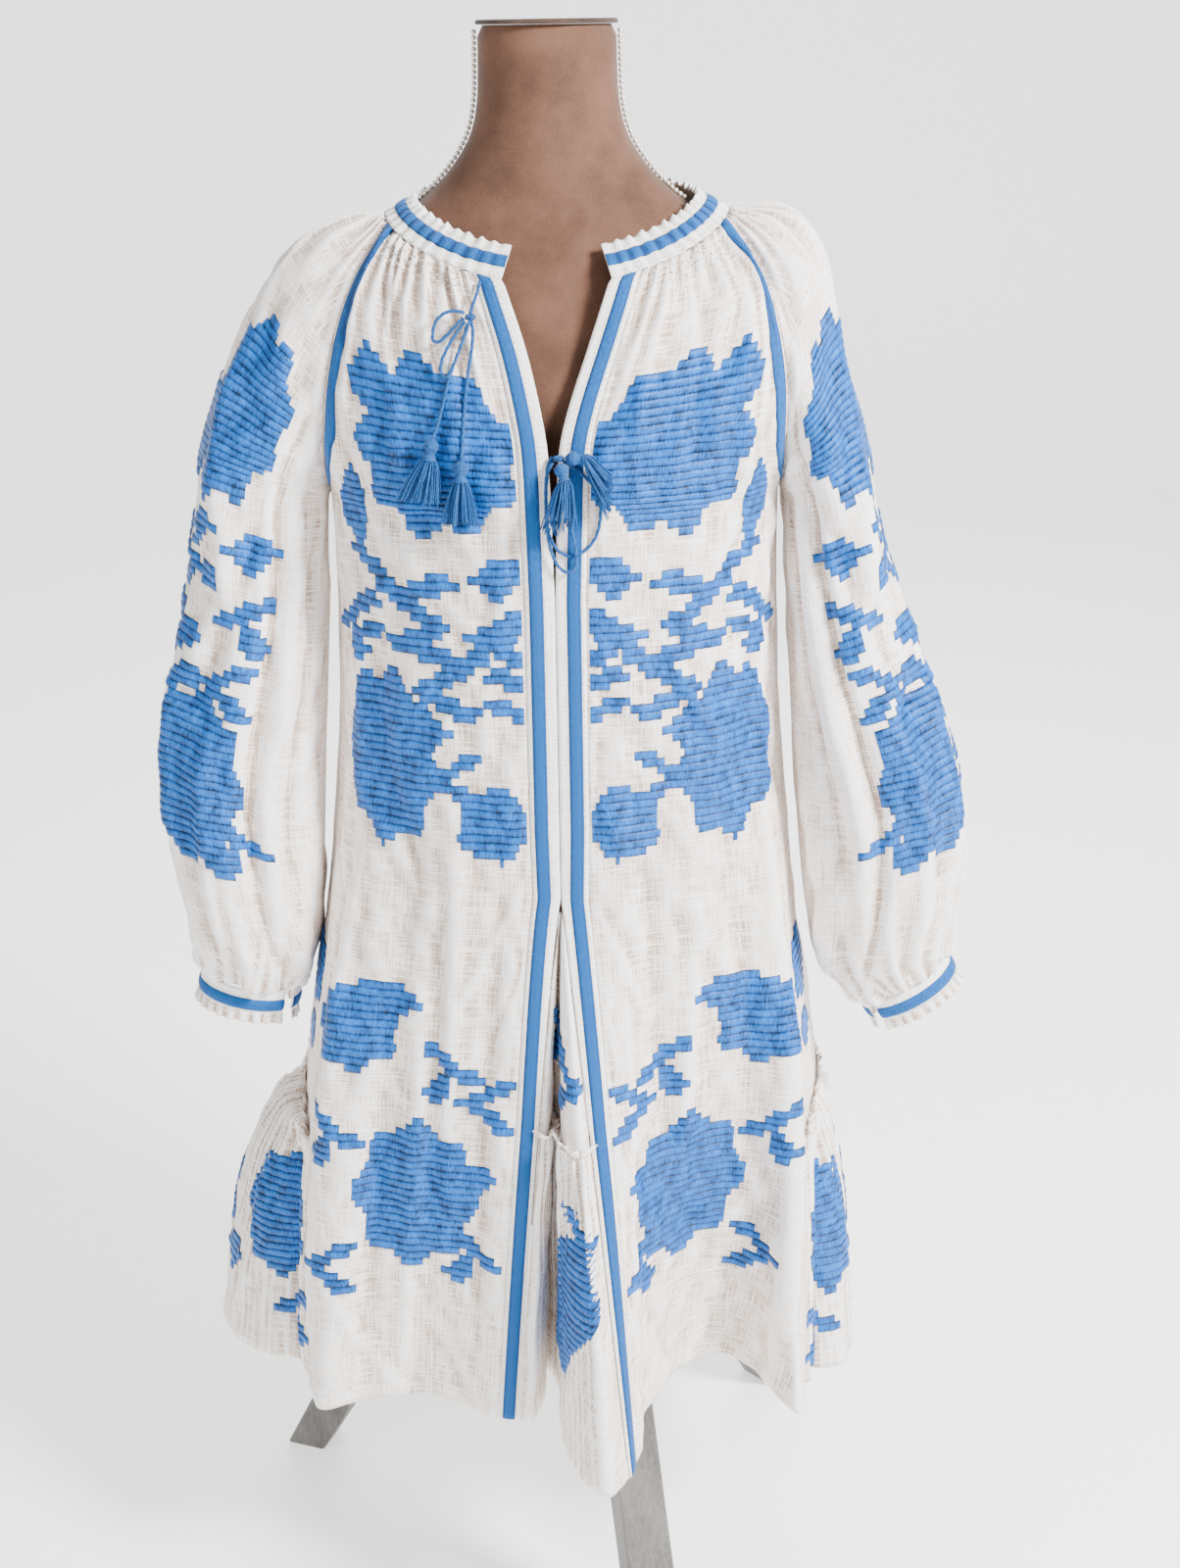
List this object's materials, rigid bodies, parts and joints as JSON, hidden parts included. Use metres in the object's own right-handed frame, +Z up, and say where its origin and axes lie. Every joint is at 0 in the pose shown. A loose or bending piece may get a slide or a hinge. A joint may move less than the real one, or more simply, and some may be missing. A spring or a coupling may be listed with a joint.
{
  "type": "embroidered linen dress on a limbless dress form and stand",
  "caption": "Long-sleeved linen smock dress with blue embroidery, ribbon bands and tassel ties, on a limbless dress form with a three-legged stand.",
  "frame": {"origin": "on the floor, under the middle of the whole part's bounding box", "axes": "+Z up, the front of the dress towards -Y, the wearer's left at +X"},
  "size_m": [0.7143, 0.5487, 1.4313],
  "materials": {
    "linen": "matte slubby open-weave linen",
    "blue_ribbon": "matte woven ribbon",
    "blue_cord": "twisted cotton cord",
    "form_velvet": "brown velvet over a hard form",
    "cap_suede": "dark flat neck cap",
    "stand_paint": "painted pale grey",
    "stand_rod": "plain steel tube"
  },
  "bodies": {
    "root": {"back_panel": "linen", "collar_band": "linen", "collar_ribbon": "blue_ribbon", "cuff_frill_left": "linen", "cuff_frill_right": "linen", "cuff_left": "linen", "cuff_ribbon_left": "blue_ribbon", "cuff_ribbon_right": "blue_ribbon", "cuff_right": "linen", "form_neck_cap": "cap_suede", "form_torso": "form_velvet", "front_band_left": "linen", "front_band_right": "linen", "front_panel_left": "linen", "front_panel_right": "linen", "front_ribbon_left": "blue_ribbon", "front_ribbon_right": "blue_ribbon", "front_tassel_left": "blue_cord", "front_tassel_right": "blue_cord", "front_tie_knot": "blue_cord", "front_tie_loop_long": "blue_cord", "front_tie_loop_wide": "blue_cord", "godet_tier": "linen", "godet_upper": "linen", "neck_tassel_left": "blue_cord", "neck_tassel_right": "blue_cord", "neck_tie_knot": "blue_cord", "neck_tie_loop_left": "blue_cord", "neck_tie_loop_low": "blue_cord", "neck_tie_stem": "blue_cord", "neck_tie_tail_left": "blue_cord", "neck_tie_tail_right": "blue_cord", "raglan_ribbon_back_left": "blue_ribbon", "raglan_ribbon_back_right": "blue_ribbon", "raglan_ribbon_front_left": "blue_ribbon", "raglan_ribbon_front_right": "blue_ribbon", "side_panel_left": "linen", "side_panel_right": "linen", "side_tier_left": "linen", "side_tier_right": "linen", "sleeve_left": "linen", "sleeve_right": "linen", "stand_hub": "stand_paint", "stand_leg_1": "stand_paint", "stand_leg_2": "stand_paint", "stand_leg_3": "stand_paint", "stand_post": "stand_rod"}
  },
  "joints": []
}
